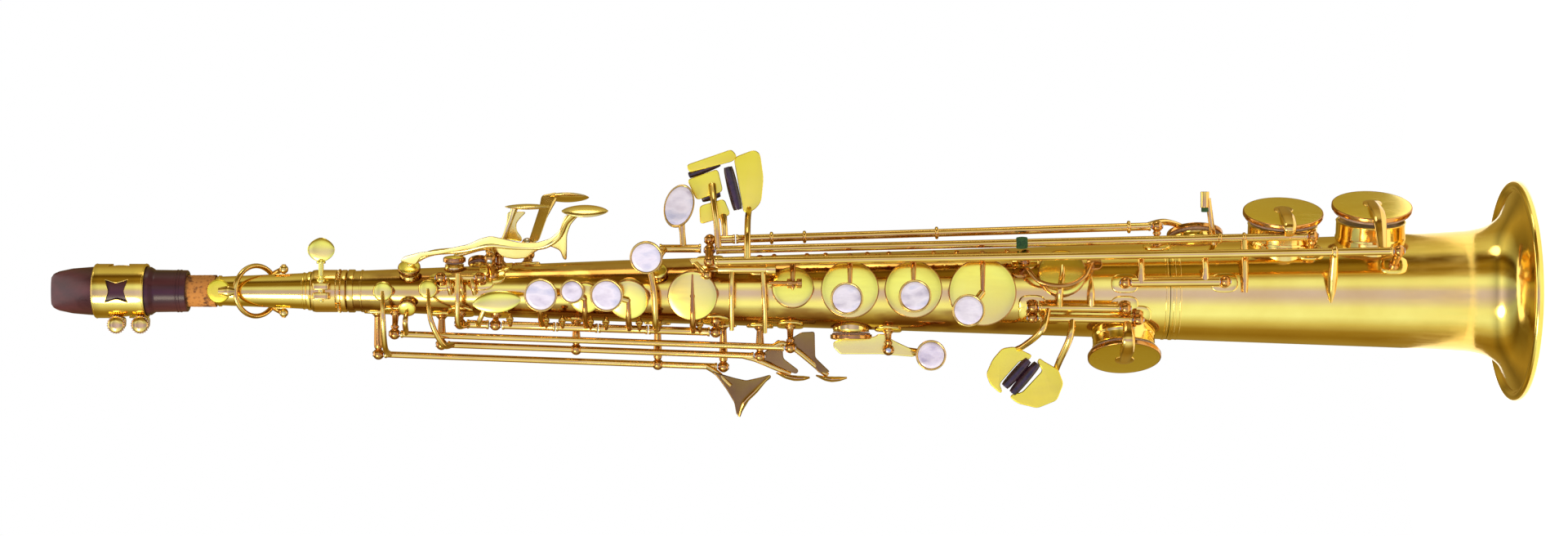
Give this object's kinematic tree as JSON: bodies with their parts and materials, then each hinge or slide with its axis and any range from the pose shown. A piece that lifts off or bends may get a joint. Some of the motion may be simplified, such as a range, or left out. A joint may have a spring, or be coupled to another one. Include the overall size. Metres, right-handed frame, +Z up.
{
  "type": "soprano saxophone",
  "caption": "Straight conical brass woodwind standing on its flared bell, with hinged pad keys, pearl touches, a neck and a beaked mouthpiece.",
  "frame": {"origin": "on the floor plane at the centre of the bell mouth, which is the bottom of the bounding box within a few millimetres", "axes": "+Z up along the bore from bell to mouthpiece tip; the front with the two main key stacks faces -Y; the palm keys and little-finger table are on +X"},
  "size_m": [0.1238, 0.1018, 0.6785],
  "materials": {
    "lacquer": "clear gold lacquer over polished brass",
    "dark_lacquer": "deeper gold lacquer over polished brass",
    "ebonite": "maroon-brown hard rubber, satin beak and glossy shank",
    "roller": "polished dark resin",
    "pearl": "polished mother-of-pearl, pale lavender swirls",
    "pad_leather": "fine tan kid leather",
    "cork": "bare cork with dark flecks",
    "cane": "bare cane"
  },
  "bodies": {
    "body": {"thumb_rest": "dark_lacquer", "thumb_hook": "lacquer", "sling_ring": "lacquer", "neck_receiver": "dark_lacquer", "body_tube": "lacquer", "bell": "lacquer"},
    "front_F_key": {"front_F_key": "lacquer"},
    "B_key": {"B_key": "lacquer", "B_pearl": "pearl"},
    "bis_key": {"bis_key": "lacquer", "bis_pearl": "pearl"},
    "A_key": {"A_key": "lacquer", "A_pearl": "pearl"},
    "G_key": {"G_key": "lacquer", "G_pearl": "pearl"},
    "G_sharp_key": {"G_sharp_key": "lacquer", "G_sharp_pearl": "pearl"},
    "low_C_sharp_lever": {"low_C_sharp_lever": "lacquer"},
    "low_C_sharp_key": {"low_C_sharp_key": "lacquer"},
    "low_B_key": {"low_B_key": "lacquer", "low_B_pad": "pad_leather"},
    "low_B_flat_key": {"low_B_flat_key": "lacquer", "low_B_flat_pad": "pad_leather"},
    "F_sharp_helper_key": {"F_sharp_helper_key": "lacquer"},
    "F_key": {"F_key": "lacquer", "F_pearl": "pearl"},
    "E_key": {"E_key": "lacquer", "E_pearl": "pearl"},
    "D_key": {"D_key": "lacquer", "D_pearl": "pearl"},
    "E_flat_key": {"E_flat_key": "lacquer"},
    "low_C_key": {"low_C_key": "lacquer", "low_C_pad": "pad_leather"},
    "high_E_key": {"high_E_key": "lacquer"},
    "side_C_key": {"side_C_key": "lacquer"},
    "side_B_flat_key": {"side_B_flat_key": "lacquer"},
    "table_roller_long": {"table_roller_long": "roller"},
    "table_roller_top": {"table_roller_top": "roller"},
    "table_roller_middle": {"table_roller_middle": "roller"},
    "E_flat_roller": {"E_flat_roller": "roller"},
    "low_C_roller": {"low_C_roller": "roller"},
    "palm_F_key": {"palm_F_key": "lacquer"},
    "palm_E_flat_key": {"palm_E_flat_key": "lacquer"},
    "palm_D_key": {"palm_D_key": "lacquer"},
    "high_F_sharp_key": {"high_F_sharp_key": "lacquer", "high_F_sharp_pearl": "pearl"},
    "thumb_octave_lever": {"thumb_octave_lever": "lacquer"},
    "body_octave_key": {"body_octave_key": "lacquer"},
    "neck_octave_key": {"neck_octave_key": "lacquer"},
    "neck": {"neck": "lacquer", "neck_cork": "cork"},
    "mouthpiece": {"mouthpiece": "ebonite", "reed": "cane", "ligature": "lacquer"},
    "ligature_screw_1": {"ligature_screw_1": "lacquer"},
    "ligature_screw_2": {"ligature_screw_2": "lacquer"},
    "neck_clamp_screw": {"neck_clamp_screw": "lacquer"}
  },
  "joints": [
    {"name": "front_F_press", "type": "hinge", "parent": "body", "child": "front_F_key", "pos_m": [-0.01495, -0.00863, 0.488], "axis": [0.032, 0.0185, 0.9993], "range_deg": [0, 6], "stiffness_Nm_per_rad": 0.15, "springref_deg": -20.05},
    {"name": "B_press", "type": "hinge", "parent": "body", "child": "B_key", "pos_m": [-0.01495, -0.00863, 0.488], "axis": [0.032, 0.0185, 0.9993], "range_deg": [0, 8], "stiffness_Nm_per_rad": 0.15, "springref_deg": -20.05},
    {"name": "bis_press", "type": "hinge", "parent": "body", "child": "bis_key", "pos_m": [-0.01495, -0.00863, 0.488], "axis": [0.032, 0.0185, 0.9993], "range_deg": [0, 8], "stiffness_Nm_per_rad": 0.15, "springref_deg": -20.05},
    {"name": "A_press", "type": "hinge", "parent": "body", "child": "A_key", "pos_m": [-0.01495, -0.00863, 0.488], "axis": [0.032, 0.0185, 0.9993], "range_deg": [0, 8], "stiffness_Nm_per_rad": 0.15, "springref_deg": -20.05},
    {"name": "G_press", "type": "hinge", "parent": "body", "child": "G_key", "pos_m": [-0.01495, -0.00863, 0.488], "axis": [0.032, 0.0185, 0.9993], "range_deg": [0, 8], "stiffness_Nm_per_rad": 0.15, "springref_deg": -20.05},
    {"name": "G_sharp_press", "type": "hinge", "parent": "body", "child": "G_sharp_key", "pos_m": [0.0195, -0.0115, 0.396], "axis": [0, 0, 1], "range_deg": [0, 7], "stiffness_Nm_per_rad": 0.15, "springref_deg": -20.05},
    {"name": "low_C_sharp_press", "type": "hinge", "parent": "body", "child": "low_C_sharp_lever", "pos_m": [0.02352, -0.00856, 0.373], "axis": [-0.0305, 0.0111, 0.9995], "range_deg": [0, 8], "stiffness_Nm_per_rad": 0.15, "springref_deg": -20.05},
    {"name": "low_C_sharp_open", "type": "hinge", "parent": "body", "child": "low_C_sharp_key", "pos_m": [0.02352, -0.00856, 0.373], "axis": [0.0305, -0.0111, -0.9995], "range_deg": [0, 8], "stiffness_Nm_per_rad": 0.15, "springref_deg": -20.05},
    {"name": "low_B_press", "type": "hinge", "parent": "body", "child": "low_B_key", "pos_m": [0.01879, -0.01577, 0.373], "axis": [-0.0227, 0.0321, 0.9992], "range_deg": [0, 8], "stiffness_Nm_per_rad": 0.15, "springref_deg": -20.05},
    {"name": "low_B_flat_press", "type": "hinge", "parent": "body", "child": "low_B_flat_key", "pos_m": [0.0135, -0.02649, 0.373], "axis": [-0.0153, 0.03, 0.9994], "range_deg": [0, 8], "stiffness_Nm_per_rad": 0.15, "springref_deg": -20.05},
    {"name": "F_sharp_helper_close", "type": "hinge", "parent": "body", "child": "F_sharp_helper_key", "pos_m": [0.01397, -0.01551, 0.35], "axis": [0.0217, -0.0241, -0.9995], "range_deg": [0, 8], "stiffness_Nm_per_rad": 0.15, "springref_deg": -20.05},
    {"name": "F_press", "type": "hinge", "parent": "body", "child": "F_key", "pos_m": [0.01397, -0.01551, 0.35], "axis": [0.0217, -0.0241, -0.9995], "range_deg": [0, 8], "stiffness_Nm_per_rad": 0.15, "springref_deg": -20.05},
    {"name": "E_press", "type": "hinge", "parent": "body", "child": "E_key", "pos_m": [0.01397, -0.01551, 0.35], "axis": [0.0217, -0.0241, -0.9995], "range_deg": [0, 8], "stiffness_Nm_per_rad": 0.15, "springref_deg": -20.05},
    {"name": "D_press", "type": "hinge", "parent": "body", "child": "D_key", "pos_m": [0.01397, -0.01551, 0.35], "axis": [0.0217, -0.0241, -0.9995], "range_deg": [0, 8], "stiffness_Nm_per_rad": 0.15, "springref_deg": -20.05},
    {"name": "E_flat_press", "type": "hinge", "parent": "body", "child": "E_flat_key", "pos_m": [-0.00728, -0.02381, 0.226], "axis": [-0.0095, -0.031, -0.9995], "range_deg": [0, 7], "stiffness_Nm_per_rad": 0.15, "springref_deg": -20.05},
    {"name": "low_C_press", "type": "hinge", "parent": "body", "child": "low_C_key", "pos_m": [-0.01207, -0.02177, 0.226], "axis": [-0.0157, -0.0283, -0.9995], "range_deg": [0, 8], "stiffness_Nm_per_rad": 0.15, "springref_deg": -20.05},
    {"name": "high_E_press", "type": "hinge", "parent": "body", "child": "high_E_key", "pos_m": [-0.02926, 0.00516, 0.527], "axis": [-0.037, 0.0065, -0.9993], "range_deg": [0, 7], "stiffness_Nm_per_rad": 0.15, "springref_deg": -20.05},
    {"name": "side_C_press", "type": "hinge", "parent": "body", "child": "side_C_key", "pos_m": [-0.02461, -0.00215, 0.497], "axis": [-0.0364, -0.0032, -0.9993], "range_deg": [0, 7], "stiffness_Nm_per_rad": 0.15, "springref_deg": -20.05},
    {"name": "side_B_flat_press", "type": "hinge", "parent": "body", "child": "side_B_flat_key", "pos_m": [-0.01961, -0.00714, 0.518], "axis": [-0.0343, -0.0125, -0.9993], "range_deg": [0, 7], "stiffness_Nm_per_rad": 0.15, "springref_deg": -20.05},
    {"name": "table_roller_long_spin", "type": "hinge", "parent": "low_B_flat_key", "child": "table_roller_long", "pos_m": [0.0472, -0.0056, 0.3625], "axis": [-0.9735, 0, -0.2285], "continuous": true},
    {"name": "table_roller_top_spin", "type": "hinge", "parent": "low_B_flat_key", "child": "table_roller_top", "pos_m": [0.056, -0.0032, 0.3757], "axis": [0.3669, 0, -0.9303], "continuous": true},
    {"name": "table_roller_middle_spin", "type": "hinge", "parent": "low_B_key", "child": "table_roller_middle", "pos_m": [0.0439, -0.0016, 0.3728], "axis": [0.2957, 0, -0.9553], "continuous": true},
    {"name": "E_flat_roller_spin", "type": "hinge", "parent": "E_flat_key", "child": "E_flat_roller", "pos_m": [-0.0374, -0.0164, 0.2329], "axis": [-0.7488, 0, 0.6628], "continuous": true},
    {"name": "low_C_roller_spin", "type": "hinge", "parent": "low_C_key", "child": "low_C_roller", "pos_m": [-0.03975, -0.0164, 0.2291], "axis": [-0.764, 0, 0.6452], "continuous": true},
    {"name": "palm_F_press", "type": "hinge", "parent": "body", "child": "palm_F_key", "pos_m": [0.01838, -0.01543, 0.473], "axis": [0.6428, 0.766, 0], "range_deg": [0, 6], "stiffness_Nm_per_rad": 0.15, "springref_deg": -20.05},
    {"name": "palm_E_flat_press", "type": "hinge", "parent": "body", "child": "palm_E_flat_key", "pos_m": [0.02089, -0.00219, 0.47], "axis": [0.1045, 0.9945, 0], "range_deg": [0, 6], "stiffness_Nm_per_rad": 0.15, "springref_deg": -20.05},
    {"name": "palm_D_press", "type": "hinge", "parent": "body", "child": "palm_D_key", "pos_m": [0.01943, 0.01033, 0.458], "axis": [-0.4695, 0.8829, 0], "range_deg": [0, 6], "stiffness_Nm_per_rad": 0.15, "springref_deg": -20.05},
    {"name": "high_F_sharp_press", "type": "hinge", "parent": "body", "child": "high_F_sharp_key", "pos_m": [-0.027, 0, 0.291], "axis": [0, -1, 0], "range_deg": [0, 7], "stiffness_Nm_per_rad": 0.15, "springref_deg": -20.05},
    {"name": "thumb_octave_press", "type": "hinge", "parent": "body", "child": "thumb_octave_lever", "pos_m": [0.007, 0.0215, 0.5], "axis": [0, -0.052, 0.9986], "range_deg": [0, 8], "stiffness_Nm_per_rad": 0.15, "springref_deg": -20.05},
    {"name": "body_octave_open", "type": "hinge", "parent": "body", "child": "body_octave_key", "pos_m": [0.007, 0.0215, 0.5], "axis": [0, 0.052, -0.9986], "range_deg": [0, 10], "stiffness_Nm_per_rad": 0.15, "springref_deg": -20.05},
    {"name": "neck_octave_open", "type": "hinge", "parent": "neck", "child": "neck_octave_key", "pos_m": [0, -0.001, 0.5698], "axis": [1, 0, 0], "range_deg": [0, 6], "stiffness_Nm_per_rad": 0.15, "springref_deg": -20.05},
    {"name": "neck_turn", "type": "hinge", "parent": "body", "child": "neck", "pos_m": [0, 0, 0.548], "axis": [0, 0, 1], "range_deg": [-8, 8]},
    {"name": "mouthpiece_slide", "type": "slide", "parent": "neck", "child": "mouthpiece", "axis": [0, 0, 1], "range_m": [0, 0.006]},
    {"name": "ligature_screw_1_turn", "type": "hinge", "parent": "mouthpiece", "child": "ligature_screw_1", "pos_m": [-0.0154, 0, 0.646], "axis": [0, -1, 0], "continuous": true},
    {"name": "ligature_screw_2_turn", "type": "hinge", "parent": "mouthpiece", "child": "ligature_screw_2", "pos_m": [-0.0154, 0, 0.635], "axis": [0, -1, 0], "continuous": true},
    {"name": "neck_clamp_turn", "type": "hinge", "parent": "body", "child": "neck_clamp_screw", "pos_m": [0, -0.0124, 0.5509], "axis": [1, 0, 0], "continuous": true}
  ],
  "couplings": [
    {"joint": "F_sharp_helper_close", "follows": "F_press", "ratio": 1},
    {"joint": "low_C_sharp_open", "follows": "low_C_sharp_press", "ratio": 1},
    {"joint": "body_octave_open", "follows": "thumb_octave_press", "ratio": 1.25},
    {"joint": "neck_octave_open", "follows": "thumb_octave_press", "ratio": 0.75}
  ]
}
